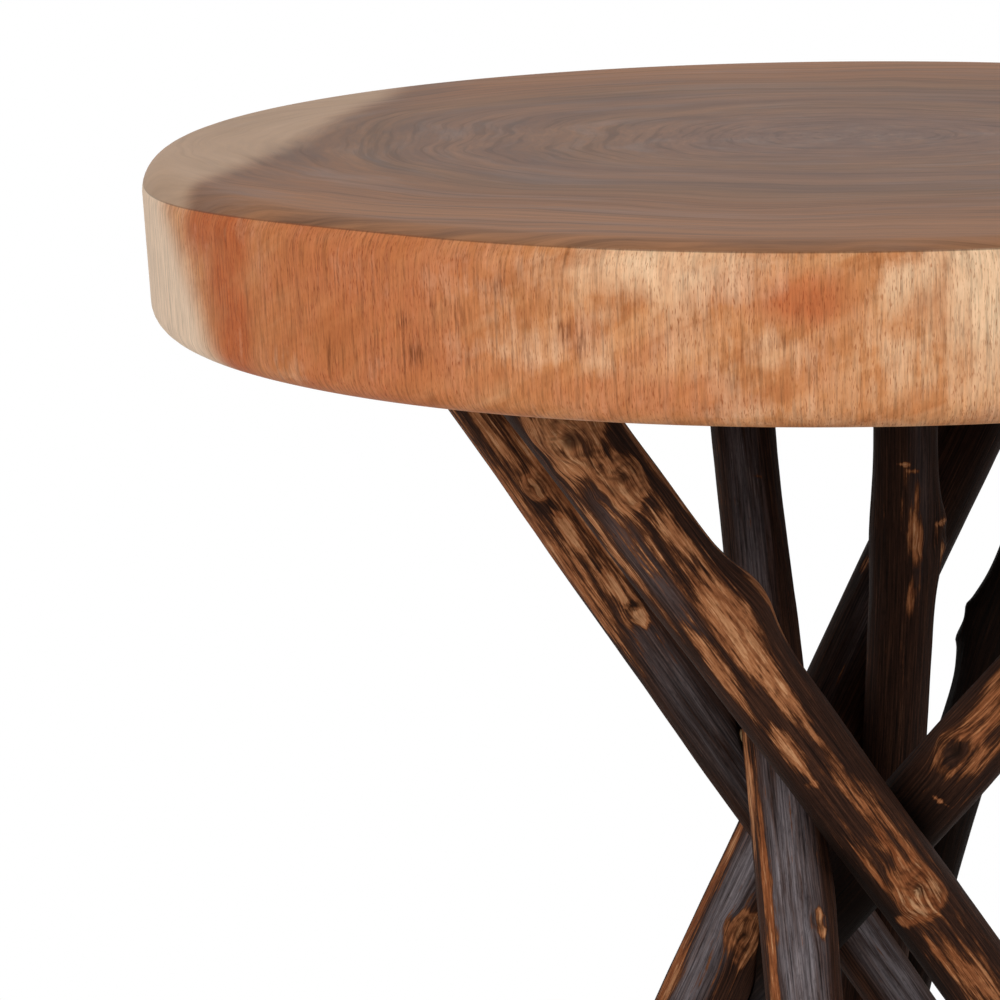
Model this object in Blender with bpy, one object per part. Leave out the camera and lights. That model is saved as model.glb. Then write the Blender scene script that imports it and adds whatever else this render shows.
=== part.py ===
"""Round accent table: a thick cross-cut slab on seven natural sticks that cross in an hourglass bundle.

Metres, +Z up, standing on z = 0 with the slab centred on the Z axis and the front toward -Y.
"""
import math

import bmesh
import bpy
from mathutils import Matrix, Vector

# Slab.
TABLE_HEIGHT = 0.450
TOP_DIAMETER = 0.500
TOP_THICKNESS = 0.061
TOP_EDGE_RADIUS = 0.012
UNDER_EDGE_RADIUS = 0.010
RIM_DRAFT = 0.002

# Play between pieces that touch.
FIT_GAP = 0.0003

# Sticks: where each axis passes at the floor, at the waist and at the slab, and its end diameters.
# A knot is a swelling: height, direction round the stick in degrees, rise and reach along the stick.
WAIST_HEIGHT = 0.195
STICKS = {
    "front": {
        "foot": (0.139, 0.042), "waist": (0.018, -0.045), "top": (-0.105, -0.129),
        "foot_diameter": 0.0260, "top_diameter": 0.0324,
        "knots": ((0.292, 20, 0.0050, 0.018), (0.371, 281, 0.0012, 0.012), (0.188, 296, 0.0016, 0.010)),
    },
    "centre": {
        "foot": (0.004, -0.183), "waist": (-0.019, -0.040), "top": (-0.043, 0.121),
        "foot_diameter": 0.0276, "top_diameter": 0.0236,
        "knots": ((0.170, 309, 0.0010, 0.014),),
    },
    "left": {
        "foot": (0.092, 0.073), "waist": (-0.024, 0.009), "top": (-0.145, -0.044),
        "foot_diameter": 0.0230, "top_diameter": 0.0224,
        "knots": ((0.333, 280, 0.0010, 0.010),),
    },
    "long": {
        "foot": (-0.119, -0.119), "waist": (-0.018, 0.042), "top": (0.086, 0.162),
        "foot_diameter": 0.0300, "top_diameter": 0.0308,
        "knots": ((0.149, 299, 0.0014, 0.010),),
    },
    "right": {
        "foot": (-0.133, 0.084), "waist": (0.018, -0.015), "top": (0.176, -0.064),
        "foot_diameter": 0.0280, "top_diameter": 0.0296,
        "knots": ((0.233, 235, 0.0016, 0.012),),
    },
    "upright": {
        "foot": (-0.006, 0.077), "waist": (0.019, 0.050), "top": (0.024, 0.026),
        "foot_diameter": 0.0256, "top_diameter": 0.0240,
        "knots": ((0.297, 0, 0.0032, 0.020),),
    },
    "bent": {
        "foot": (0.004, 0.103), "waist": (0.044, 0.078), "top": (0.118, 0.102),
        "foot_diameter": 0.0230, "top_diameter": 0.0236,
        "knots": ((0.250, 178, 0.0045, 0.022),),
    },
}
STICK_SIDES = 16
STICK_RINGS = 24
STICK_OVERRUN = 0.030
KNOT_WIDTH = 0.75

# Screws with two threaded ends, along the top of each stick.
SCREW_DIAMETER = 0.007
SCREW_IN_STICK = 0.024
SCREW_IN_SLAB = 0.020
SCREW_POINT = 0.004

# Dowels between sticks that touch where they cross.
DOWEL_DIAMETER = 0.006
DOWEL_DEPTH = 0.009
DOWEL_PAIRS = (
    ("front", "right"),
    ("centre", "left"),
    ("left", "long"),
    ("left", "right"),
    ("long", "upright"),
    ("upright", "bent"),
)

# Floor glides with a spike.
GLIDE_DIAMETER = 0.018
GLIDE_THICKNESS = 0.004
GLIDE_EDGE = 0.001
SPIKE_DIAMETER = 0.003
SPIKE_LENGTH = 0.009
SPIKE_POINT = 0.003

UNDERSIDE = TABLE_HEIGHT - TOP_THICKNESS


def material(name, colour, roughness, metallic=0.0):
    """Plain material for one kind of piece."""
    made = bpy.data.materials.new(name)
    made.use_nodes = True
    shader = made.node_tree.nodes["Principled BSDF"]
    shader.inputs["Base Color"].default_value = (*colour, 1.0)
    shader.inputs["Roughness"].default_value = roughness
    shader.inputs["Metallic"].default_value = metallic
    made.diffuse_color = (*colour, 1.0)
    return made


def add_object(name, mesh_builder, look):
    """Put a finished bmesh into the scene as a named object."""
    bmesh.ops.recalc_face_normals(mesh_builder, faces=mesh_builder.faces)
    mesh = bpy.data.meshes.new(name)
    mesh_builder.to_mesh(mesh)
    mesh_builder.free()
    made = bpy.data.objects.new(name, mesh)
    bpy.context.scene.collection.objects.link(made)
    if look:
        mesh.materials.append(look)
    return made


def as_cutter(made):
    """Mark an object as a tool that only cuts."""
    made.hide_render = True
    made.display_type = "WIRE"
    return made


def cut(target, tool):
    """Subtract one object from another."""
    step = target.modifiers.new("cut_" + tool.name, "BOOLEAN")
    step.operation = "DIFFERENCE"
    step.solver = "EXACT"
    step.object = tool


def turned(name, profile, sides, place, look):
    """Closed body turned from (radius, height) points that start and end on the axis."""
    bm = bmesh.new()
    rings = []
    for radius, height in profile:
        if radius == 0.0:
            rings.append([bm.verts.new((0.0, 0.0, height))])
            continue
        ring = []
        for index in range(sides):
            angle = 2.0 * math.pi * index / sides
            ring.append(bm.verts.new((radius * math.cos(angle), radius * math.sin(angle), height)))
        rings.append(ring)
    for lower, upper in zip(rings, rings[1:]):
        for index in range(sides):
            after = (index + 1) % sides
            if len(lower) == 1:
                bm.faces.new((lower[0], upper[after], upper[index]))
            elif len(upper) == 1:
                bm.faces.new((lower[index], lower[after], upper[0]))
            else:
                bm.faces.new((lower[index], lower[after], upper[after], upper[index]))
    bm.transform(place)
    return add_object(name, bm, look)


def along(point, direction):
    """Matrix that carries local +Z onto a direction at a point."""
    turn = Vector((0.0, 0.0, 1.0)).rotation_difference(direction).to_matrix().to_4x4()
    return Matrix.Translation(point) @ turn


def axis_point(stick, height):
    """Point of a stick's axis at a height, on a smooth curve through its foot, waist and top."""
    at_foot = (height - WAIST_HEIGHT) * (height - UNDERSIDE) / (WAIST_HEIGHT * UNDERSIDE)
    at_waist = height * (height - UNDERSIDE) / (WAIST_HEIGHT * (WAIST_HEIGHT - UNDERSIDE))
    at_top = height * (height - WAIST_HEIGHT) / (UNDERSIDE * (UNDERSIDE - WAIST_HEIGHT))
    shares = (at_foot, at_waist, at_top)
    places = (stick["foot"], stick["waist"], stick["top"])
    across = sum(share * place[0] for share, place in zip(shares, places))
    back = sum(share * place[1] for share, place in zip(shares, places))
    return Vector((across, back, height))


def axis_direction(stick, height):
    """Upward direction of a stick's axis at a height."""
    step = 0.001
    return (axis_point(stick, height + step) - axis_point(stick, height - step)).normalized()


def plain_radius(stick, height):
    """Radius of a stick at a height, without its knots."""
    share = min(max(height / UNDERSIDE, 0.0), 1.0)
    return 0.5 * (stick["foot_diameter"] + share * (stick["top_diameter"] - stick["foot_diameter"]))


def stick_radius(stick, height, angle):
    """Radius of a stick at a height and direction, with its knots."""
    radius = plain_radius(stick, height)
    for level, facing, rise, reach in stick["knots"]:
        turn = math.remainder(angle - math.radians(facing), 2.0 * math.pi)
        radius += rise * math.exp(-((height - level) / reach) ** 2 - (turn / KNOT_WIDTH) ** 2)
    return radius


def stick_tube(stick, swell):
    """Tube along a stick's axis that runs past both ends."""
    bm = bmesh.new()
    low = -STICK_OVERRUN
    high = UNDERSIDE + STICK_OVERRUN
    rings = []
    for ring_index in range(STICK_RINGS):
        height = low + (high - low) * ring_index / (STICK_RINGS - 1)
        centre = axis_point(stick, height)
        upward = axis_direction(stick, height)
        side = (Vector((1.0, 0.0, 0.0)) - upward * upward.x).normalized()
        back = upward.cross(side)
        ring = []
        for index in range(STICK_SIDES):
            angle = 2.0 * math.pi * index / STICK_SIDES
            radius = stick_radius(stick, height, angle) + swell
            spoke = side * math.cos(angle) + back * math.sin(angle)
            ring.append(bm.verts.new(centre + spoke * radius))
        rings.append(ring)
    for lower, upper in zip(rings, rings[1:]):
        for index in range(STICK_SIDES):
            after = (index + 1) % STICK_SIDES
            bm.faces.new((lower[index], lower[after], upper[after], upper[index]))
    bm.faces.new(list(reversed(rings[0])))
    bm.faces.new(rings[-1])
    return bm


def trim(bm, height, keep_below):
    """Cut a tube flat at a height and close the end."""
    facing = 1.0 if keep_below else -1.0
    everything = bm.verts[:] + bm.edges[:] + bm.faces[:]
    bmesh.ops.bisect_plane(
        bm, geom=everything, plane_co=(0.0, 0.0, height), plane_no=(0.0, 0.0, facing), clear_outer=True
    )
    rim = [edge for edge in bm.edges if edge.is_boundary]
    bmesh.ops.holes_fill(bm, edges=rim, sides=0)


def closest(first, second):
    """Nearest points of two stick axes, as points and their distance."""
    count = 160
    heights = [UNDERSIDE * index / count for index in range(count + 1)]
    ones = [axis_point(first, height) for height in heights]
    others = [axis_point(second, height) for height in heights]
    best = None
    for one in ones:
        for other in others:
            apart = (one - other).length
            if best is None or apart < best[2]:
                best = (one, other, apart)
    return best


def rounded_slab_profile():
    """Outline of the slab from its underside to its upper face."""
    outer = TOP_DIAMETER / 2.0
    lower = outer - RIM_DRAFT
    steps = 6
    profile = [(0.0, UNDERSIDE)]
    for index in range(steps + 1):
        angle = math.pi / 2.0 * index / steps
        radius = lower - UNDER_EDGE_RADIUS * (1.0 - math.sin(angle))
        profile.append((radius, UNDERSIDE + UNDER_EDGE_RADIUS * (1.0 - math.cos(angle))))
    for index in range(steps + 1):
        angle = math.pi / 2.0 * index / steps
        radius = outer - TOP_EDGE_RADIUS * (1.0 - math.cos(angle))
        profile.append((radius, TABLE_HEIGHT - TOP_EDGE_RADIUS * (1.0 - math.sin(angle))))
    profile.append((0.0, TABLE_HEIGHT))
    return profile


for existing in list(bpy.data.objects):
    bpy.data.objects.remove(existing, do_unlink=True)

slab_wood = material("slab_wood", (0.36, 0.19, 0.11), 0.45)
charred_wood = material("charred_wood", (0.045, 0.028, 0.022), 0.6)
steel = material("screw_steel", (0.55, 0.55, 0.56), 0.35, 1.0)
dowel_wood = material("dowel_wood", (0.55, 0.40, 0.24), 0.6)
glide_plastic = material("glide_plastic", (0.03, 0.03, 0.03), 0.5)

# The slab.
table_top = turned("table_top", rounded_slab_profile(), 96, Matrix.Identity(4), slab_wood)

# The sticks, trimmed at the slab and at the glides.
sticks = {}
for name, stick in STICKS.items():
    tube = stick_tube(stick, 0.0)
    trim(tube, UNDERSIDE - FIT_GAP, True)
    trim(tube, GLIDE_THICKNESS + FIT_GAP, False)
    sticks[name] = add_object("stick_" + name, tube, charred_wood)

# Where two sticks run into each other, the later one in the list is scribed to fit round the earlier.
order = list(STICKS)
for index, name in enumerate(order):
    for other in order[index + 1:]:
        one, two, apart = closest(STICKS[name], STICKS[other])
        knots = [knot[2] for knot in STICKS[name]["knots"] + STICKS[other]["knots"]]
        reach = plain_radius(STICKS[name], one.z) + plain_radius(STICKS[other], two.z) + max(knots)
        if apart < reach + 2.0 * FIT_GAP:
            tool = add_object("scribe_" + name + "_" + other, stick_tube(STICKS[name], FIT_GAP), None)
            cut(sticks[other], as_cutter(tool))

# Screws up through the top of each stick into the slab.
screw_radius = SCREW_DIAMETER / 2.0
for name, stick in STICKS.items():
    place = along(axis_point(stick, UNDERSIDE), axis_direction(stick, UNDERSIDE))
    shape = (
        (0.0, -SCREW_IN_STICK),
        (screw_radius, SCREW_POINT - SCREW_IN_STICK),
        (screw_radius, SCREW_IN_SLAB - SCREW_POINT),
        (0.0, SCREW_IN_SLAB),
    )
    turned("top_screw_" + name, shape, 12, place, steel)
    bore = (
        (0.0, -SCREW_IN_STICK - FIT_GAP),
        (screw_radius + FIT_GAP, -SCREW_IN_STICK - FIT_GAP),
        (screw_radius + FIT_GAP, SCREW_IN_SLAB + FIT_GAP),
        (0.0, SCREW_IN_SLAB + FIT_GAP),
    )
    tool = as_cutter(turned("screw_bore_" + name, bore, 12, place, None))
    cut(table_top, tool)
    cut(sticks[name], tool)

# Dowels through the faces where sticks meet.
dowel_radius = DOWEL_DIAMETER / 2.0
for first, second in DOWEL_PAIRS:
    one, two, apart = closest(STICKS[first], STICKS[second])
    direction = (two - one).normalized()
    near = plain_radius(STICKS[first], one.z)
    far = apart - plain_radius(STICKS[second], two.z)
    place = along(one + direction * (near + far) / 2.0, direction)
    shape = (
        (0.0, -DOWEL_DEPTH),
        (dowel_radius, -DOWEL_DEPTH),
        (dowel_radius, DOWEL_DEPTH),
        (0.0, DOWEL_DEPTH),
    )
    turned("dowel_" + first + "_" + second, shape, 12, place, dowel_wood)
    bore = (
        (0.0, -DOWEL_DEPTH - FIT_GAP),
        (dowel_radius + FIT_GAP, -DOWEL_DEPTH - FIT_GAP),
        (dowel_radius + FIT_GAP, DOWEL_DEPTH + FIT_GAP),
        (0.0, DOWEL_DEPTH + FIT_GAP),
    )
    tool = as_cutter(turned("dowel_bore_" + first + "_" + second, bore, 12, place, None))
    cut(sticks[first], tool)
    cut(sticks[second], tool)

# Glides under the feet.
glide_radius = GLIDE_DIAMETER / 2.0
spike_radius = SPIKE_DIAMETER / 2.0
spike_top = GLIDE_THICKNESS + SPIKE_LENGTH
for name, stick in STICKS.items():
    place = Matrix.Translation(axis_point(stick, 0.0))
    shape = (
        (0.0, 0.0),
        (glide_radius - GLIDE_EDGE, 0.0),
        (glide_radius, GLIDE_EDGE),
        (glide_radius, GLIDE_THICKNESS),
        (spike_radius, GLIDE_THICKNESS),
        (spike_radius, spike_top - SPIKE_POINT),
        (0.0, spike_top),
    )
    turned("glide_" + name, shape, 16, place, glide_plastic)
    bore = (
        (0.0, 0.0),
        (spike_radius + FIT_GAP, 0.0),
        (spike_radius + FIT_GAP, spike_top + FIT_GAP),
        (0.0, spike_top + FIT_GAP),
    )
    cut(sticks[name], as_cutter(turned("spike_bore_" + name, bore, 12, place, None)))
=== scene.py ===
# %% [markdown]
# # A round accent table
#
# The table is one thick slab, sawn across a trunk, on seven natural sticks that cross in an hourglass
# bundle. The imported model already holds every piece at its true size, so this lesson keeps those
# places and gives the wood its looks: the slab's rings and rim grain, and the dark, rubbed sticks.

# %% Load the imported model
import math
import random

import bmesh
import bpy
import numpy as np
from mathutils import Matrix, Vector, noise


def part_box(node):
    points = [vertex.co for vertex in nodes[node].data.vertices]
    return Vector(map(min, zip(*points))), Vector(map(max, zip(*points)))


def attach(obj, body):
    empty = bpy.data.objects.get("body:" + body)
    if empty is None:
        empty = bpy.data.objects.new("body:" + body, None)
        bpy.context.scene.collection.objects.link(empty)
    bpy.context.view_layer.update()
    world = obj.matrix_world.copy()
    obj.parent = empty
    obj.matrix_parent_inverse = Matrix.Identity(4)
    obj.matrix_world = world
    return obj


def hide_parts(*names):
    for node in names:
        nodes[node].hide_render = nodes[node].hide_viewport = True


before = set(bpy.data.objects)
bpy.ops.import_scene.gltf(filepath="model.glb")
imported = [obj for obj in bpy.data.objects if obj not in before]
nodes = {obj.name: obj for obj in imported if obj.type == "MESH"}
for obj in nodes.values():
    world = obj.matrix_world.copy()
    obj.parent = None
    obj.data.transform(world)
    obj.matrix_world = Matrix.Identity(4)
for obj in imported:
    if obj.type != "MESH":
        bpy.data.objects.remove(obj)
scene = bpy.context.scene
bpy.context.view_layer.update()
SLAB_LOW, SLAB_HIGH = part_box("table_top")
print("pieces in the frame:", len(nodes))

# %% [markdown]
# ## Colours and shader nodes
#
# Colours are written as the eye sees them, in hex, and a small function turns them into the linear
# values that Blender mixes light with. One more function adds a shader node: its inputs are given by
# name or number, as values, hex colours or links, and a colour ramp takes its stops as pairs. It
# returns the node's outputs, so a material reads as a recipe. On a Mix node for colours, inputs 6 and
# 7 are the two colours and output 2 is the result.


# %% Colour and node helpers
def hex_colour(code):
    """Linear colour with alpha from an sRGB hex value."""
    parts = [int(code[place:place + 2], 16) / 255.0 for place in (1, 3, 5)]
    linear = [part / 12.92 if part <= 0.04045 else ((part + 0.055) / 1.055) ** 2.4 for part in parts]
    return (*linear, 1.0)


def put(tree, kind, inputs=None, stops=(), **settings):
    """Add one shader node with its settings, inputs and ramp stops, and return its outputs."""
    node = tree.nodes.new("ShaderNode" + kind)
    for name, value in settings.items():
        setattr(node, name, value)
    for place, value in (inputs or {}).items():
        if isinstance(value, bpy.types.NodeSocket):
            tree.links.new(value, node.inputs[place])
        else:
            node.inputs[place].default_value = hex_colour(value) if isinstance(value, str) else value
    for count, (position, colour) in enumerate(stops):
        elements = node.color_ramp.elements
        stop = elements[count] if count < len(elements) else elements.new(position)
        stop.position = position
        stop.color = hex_colour(colour) if isinstance(colour, str) else (colour, colour, colour, 1.0)
    return node.outputs


def new_tree(name, owners):
    """Material or world with an empty node tree."""
    made = owners.new(name)
    made.use_nodes = True
    made.node_tree.nodes.clear()
    return made, made.node_tree


print("helpers ready")

# %% [markdown]
# ## The camera
#
# The photograph was taken from a little above the table top with a long lens, and the table runs out
# of the picture to the right and below. The place, the tilt and the lens were fitted to the slab's
# two rims, which are circles and so give the view away.

# %% Camera
CAMERA_PLACE = Vector((0.0, -2.0, 0.715575))
CAMERA_TURN = math.radians(3.538)
CAMERA_TILT = math.radians(11.210)
CAMERA_ROLL = math.radians(-0.988)
PHOTO_WIDTH_PIXELS = 1000.0
FOCAL_PIXELS = 5582.5
SENSOR_WIDTH_MM = 36.0

look = Vector((
    -math.sin(CAMERA_TURN) * math.cos(CAMERA_TILT),
    math.cos(CAMERA_TURN) * math.cos(CAMERA_TILT),
    -math.sin(CAMERA_TILT),
))
right = Vector((math.cos(CAMERA_TURN), math.sin(CAMERA_TURN), 0.0))
aim = Matrix((right, right.cross(look), -look)).transposed().to_4x4()
camera_data = bpy.data.cameras.new("photo_camera")
camera_data.sensor_width = SENSOR_WIDTH_MM
camera_data.lens = FOCAL_PIXELS / PHOTO_WIDTH_PIXELS * SENSOR_WIDTH_MM
camera = bpy.data.objects.new("photo_camera", camera_data)
camera.matrix_world = Matrix.Translation(CAMERA_PLACE) @ aim @ Matrix.Rotation(CAMERA_ROLL, 4, "Z")
scene.collection.objects.link(camera)
scene.camera = camera
print("lens in mm:", round(camera_data.lens, 2))

# %% [markdown]
# ## Light
#
# The photograph is a plain studio picture: soft light from the front, a white ground and hardly any
# light under the slab. A large lamp in front and to the left does most of the work, a weaker one
# fills from the right, one above lights the top, and the world adds a low, even level. To the camera,
# and in reflections, the world is plain white.

# %% World and lamps
WORLD_LEVEL = 0.24
scene.view_settings.view_transform = "Standard"

scene.world, tree = new_tree("studio", bpy.data.worlds)
rays = put(tree, "LightPath")
seen = put(tree, "Math", {0: rays["Is Camera Ray"], 1: rays["Is Glossy Ray"]}, operation="MAXIMUM")[0]
seen = put(tree, "Math", {0: seen, 1: rays["Is Transmission Ray"]}, operation="MAXIMUM")[0]
level = put(tree, "MapRange", {"Value": seen, "To Min": WORLD_LEVEL, "To Max": 1.0})["Result"]
sky = put(tree, "Background", {"Color": "#FFFFFF", "Strength": level})["Background"]
put(tree, "OutputWorld", {"Surface": sky})

LAMP_AIM = Vector((0.0, 0.0, 0.35))
LAMPS = {
    "front_lamp": ((-1.1, -2.3, 1.30), (1.5, 1.1), 46.0),
    "right_lamp": ((2.2, -1.6, 1.20), (1.2, 1.2), 20.0),
    "top_lamp": ((-0.2, 0.9, 2.40), (2.0, 1.4), 24.0),
}
for name, (place, size, power) in LAMPS.items():
    lamp_data = bpy.data.lights.new(name, "AREA")
    lamp_data.shape = "RECTANGLE"
    lamp_data.size, lamp_data.size_y = size
    lamp_data.energy = power
    lamp = bpy.data.objects.new(name, lamp_data)
    toward = LAMP_AIM - Vector(place)
    turn = toward.to_track_quat("-Z", "Y").to_matrix().to_4x4()
    lamp.matrix_world = Matrix.Translation(place) @ turn
    scene.collection.objects.link(lamp)
print("lamps:", ", ".join(LAMPS))

# %% [markdown]
# ## Floor
#
# The floor is pale and takes the table's shadow. To the camera it is lifted a little, and away from
# the table it turns plain white, as the photograph's ground does.

# %% Floor
SHADOW_REACH = (0.26, 0.46)
FLOOR_LIFT = 0.45
FLOOR_RADIUS = 9.0
FLOOR_MOTTLE_MM = 25.0

floor_look, tree = new_tree("pale_floor", bpy.data.materials)
spot = put(tree, "TexCoord")["Object"]
reach = put(tree, "VectorMath", {0: spot}, operation="LENGTH")["Value"]
far = put(tree, "MapRange", {
    "Value": reach, "From Min": SHADOW_REACH[0], "From Max": SHADOW_REACH[1],
}, interpolation_type="SMOOTHSTEP")["Result"]
rays = put(tree, "LightPath")
seen = put(tree, "Math", {0: rays["Is Camera Ray"], 1: rays["Is Glossy Ray"]}, operation="MAXIMUM")[0]
seen = put(tree, "Math", {0: seen, 1: rays["Is Transmission Ray"]}, operation="MAXIMUM")[0]
lifted = put(tree, "MapRange", {"Value": far, "To Min": FLOOR_LIFT, "To Max": 1.0})["Result"]
shown = put(tree, "Math", {0: lifted, 1: seen}, operation="MULTIPLY")[0]
mottle = put(tree, "TexNoise", {"Vector": spot, "Scale": 1000.0 / FLOOR_MOTTLE_MM, "Detail": 2.0})["Fac"]
paint = put(tree, "ValToRGB", {"Fac": mottle}, ((0.3, "#DDDBD8"), (0.7, "#E2E0DD")))["Color"]
matt = put(tree, "BsdfPrincipled", {"Base Color": paint, "Roughness": 0.8})["BSDF"]
white = put(tree, "Emission", {"Color": "#FFFFFF", "Strength": 1.0})["Emission"]
blend = put(tree, "MixShader", {0: shown, 1: matt, 2: white})["Shader"]
put(tree, "OutputMaterial", {"Surface": blend})

bm = bmesh.new()
bmesh.ops.create_circle(bm, cap_ends=True, radius=FLOOR_RADIUS, segments=64)
floor_mesh = bpy.data.meshes.new("studio_floor")
bm.to_mesh(floor_mesh)
bm.free()
floor_mesh.materials.append(floor_look)
floor = bpy.data.objects.new("studio_floor", floor_mesh)
scene.collection.objects.link(floor)
print("floor ready")

# %% [markdown]
# ## Marks
#
# Both kinds of wood carry marks that sit at certain places: warm clouds on the slab's rim, knots and
# rubbed patches on the sticks. A mark is written as its height in metres, its direction seen from
# above in degrees (270 faces the front), half its height and half its width in millimetres, and how
# strong it is. The function below gives the strength of a list of marks at every point of a piece,
# and the next turns Blender's smooth noise into an array.


# %% Marks and noise on arrays
SEED_STEP = np.array((17.3, 9.1, 5.7))


def wrapped(angle):
    """Angles brought to the range from minus pi to pi."""
    return (angle + np.pi) % (2.0 * np.pi) - np.pi


def mark_strength(marks, height, angle, radius, lean=1.0):
    """Strongest of a list of marks at each point, fading out at its border."""
    total = np.zeros_like(height)
    for level, facing, half_length, half_width, strength in marks:
        along = (height - level) / lean / (half_length * 0.001)
        across = wrapped(angle - math.radians(facing)) * radius / (half_width * 0.001)
        total = np.maximum(total, strength * np.clip(1.5 - np.hypot(along, across), 0.0, 1.0))
    return total


def noise_field(points, cell, seed):
    """Smooth noise from -1 to 1 at each row of points, with cells of the given size in metres."""
    places = points / np.array(cell) + SEED_STEP * seed
    return np.array([noise.noise(Vector(place)) for place in places])


def smooth_step(value, low, high):
    """Soft step from 0 at low to 1 at high."""
    share = np.clip((value - low) / (high - low), 0.0, 1.0)
    return share * share * (3.0 - 2.0 * share)


def store_values(bm, values):
    """Store named vectors on a bmesh's points, for materials to read."""
    for label, rows in values.items():
        layer = bm.verts.layers.float_vector.new(label)
        for vert, row in zip(bm.verts, rows):
            vert[layer] = row


def finish_piece(name, bm, material, smooth_angle):
    """Turn a bmesh into an object with smooth shading and one material."""
    mesh = bpy.data.meshes.new(name)
    bm.to_mesh(mesh)
    bm.free()
    mesh.materials.append(material)
    mesh.shade_smooth()
    mesh.set_sharp_from_angle(angle=smooth_angle)
    made = bpy.data.objects.new(name, mesh)
    scene.collection.objects.link(made)
    return made


print("marks ready")

# %% [markdown]
# ## The slab
#
# The top is a single disc of tropical hardwood, sanded by hand, with soft edges above and below. Half
# of its outline is drawn as a chain of points and spun round the middle. The underside is slightly
# smaller, because the rim leans in a little.

# %% Slab shape
SLAB_RADIUS = SLAB_HIGH[0]
SLAB_UNDER = SLAB_LOW[2]
SLAB_TOP = SLAB_HIGH[2]
RIM_DRAFT = 0.002
TOP_EDGE = 0.012
UNDER_EDGE = 0.010
SLAB_STEPS = 600
UNDER_POINTS, UNDER_EDGE_POINTS, RIM_POINTS, TOP_EDGE_POINTS, TOP_POINTS = 10, 9, 13, 13, 34

quarter = math.pi / 2.0
under_reach = SLAB_RADIUS - RIM_DRAFT - UNDER_EDGE
rim_rise = SLAB_TOP - TOP_EDGE - SLAB_UNDER - UNDER_EDGE
outline = [(radius, SLAB_UNDER) for radius in np.linspace(0.0, under_reach, UNDER_POINTS)]
for turn in np.linspace(0.0, quarter, UNDER_EDGE_POINTS)[1:]:
    outline.append((SLAB_RADIUS - RIM_DRAFT - UNDER_EDGE * (1.0 - math.sin(turn)),
                    SLAB_UNDER + UNDER_EDGE * (1.0 - math.cos(turn))))
for share in np.linspace(0.0, 1.0, RIM_POINTS)[1:-1]:
    outline.append((SLAB_RADIUS - RIM_DRAFT * (1.0 - share), SLAB_UNDER + UNDER_EDGE + share * rim_rise))
for turn in np.linspace(0.0, quarter, TOP_EDGE_POINTS):
    outline.append((SLAB_RADIUS - TOP_EDGE * (1.0 - math.cos(turn)),
                    SLAB_TOP - TOP_EDGE * (1.0 - math.sin(turn))))
outline += [(radius, SLAB_TOP) for radius in np.linspace(SLAB_RADIUS - TOP_EDGE, 0.0, TOP_POINTS)[1:]]

slab_bm = bmesh.new()
chain = [slab_bm.verts.new((radius, 0.0, height)) for radius, height in outline]
links = [slab_bm.edges.new(pair) for pair in zip(chain, chain[1:])]
bmesh.ops.spin(
    slab_bm, geom=chain + links, cent=(0.0, 0.0, 0.0), axis=(0.0, 0.0, 1.0), dvec=(0.0, 0.0, 0.0),
    angle=2.0 * math.pi, steps=SLAB_STEPS, use_merge=True)
bmesh.ops.remove_doubles(slab_bm, verts=slab_bm.verts[:], dist=1e-6)
bmesh.ops.recalc_face_normals(slab_bm, faces=slab_bm.faces[:])
print("slab outline points:", len(outline), "faces:", len(slab_bm.faces))

# %% [markdown]
# ## Where the slab's colours lie
#
# The slab shows brown heartwood with rings drawn out into fine streaks, and a pale band of sapwood at
# the left whose edge leans through the thickness. Round the rim lie clouds of red-brown and sand, and
# one of the sand marks is a painted highlight on the rounded upper edge at the front. The rings are
# measured from the pith and pushed about by slow noise, so that none is a true circle. The sawn face
# ends in a seam on the eased edge, and the seam runs lower at the left. The underside is a sawn face
# too.

# %% Slab colour places
PITH = (0.010, 0.012)
RING_STRETCH = 1.30
SAP_EDGE = -0.1995
SAP_SLANT = 0.17
SAP_BEND = 0.10
SAP_BEND_FROM = -0.06
SAP_RIM_SHIFT = 0.010
SAP_RIM_LEAN = 0.66
RING_LANE = 0.15
RING_DRIFT, RING_RIPPLE = 0.016, 0.0022
SAP_DRIFT, SAP_RIPPLE = 0.006, 0.0020
SAP_TOP_FADE = (-0.006, 0.008)
SAP_SHADE_FADE = (-0.038, -0.004)
SAP_RIM_FADE = (-0.012, 0.012)
DRIFT_CELL = (0.075, 0.075, 0.075)
RIPPLE_CELL = (0.018, 0.018, 0.018)
SEAM_TURN = math.radians(47.0)
SEAM_LOW_TURN = math.radians(15.0)
SEAM_LOW_AT = math.radians(190.0)
SEAM_LOW_REACH = math.radians(45.0)
SEAM_WIDTH = 0.006
UNDER_SEAM = 0.0001
UNDER_SEAM_WIDTH = 0.0016

WARM = (
    (0.420, 214.5, 60, 18, 0.80), (0.420, 226.5, 34, 22, 0.50), (0.404, 240, 12, 34, 0.45),
    (0.436, 238, 12, 34, 0.50), (0.399, 254, 9, 42, 0.45), (0.432, 267.5, 9, 17, 0.70),
    (0.436, 262, 6, 16, 0.45), (0.415, 268, 16, 9, 0.20), (0.418, 251, 9, 9, 0.40),
    (0.420, 230, 80, 62, 0.58), (0.442, 210, 16, 15, 0.75),
    (0.432, 229, 14, 26, 0.60), (0.414, 255, 7, 10, 0.25),
)
# Sand clouds, and at 0.440 m and 256 degrees a painted highlight on the rounded upper edge.
PALE_AND_SHEEN = (
    (0.437, 283, 30, 28, 0.85), (0.436, 276, 12, 14, 0.50), (0.440, 256, 10, 34, 0.60),
    (0.415, 246, 9, 20, 0.30), (0.431, 243, 8, 16, 0.15), (0.402, 264, 14, 14, 0.22),
    (0.415, 265, 8, 13, 0.38), (0.413, 275, 9, 12, 0.25), (0.427, 252.5, 7, 9, 0.35),
    (0.414, 252, 8, 8, 0.30), (0.398, 222, 7, 8, 0.30),
)
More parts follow.
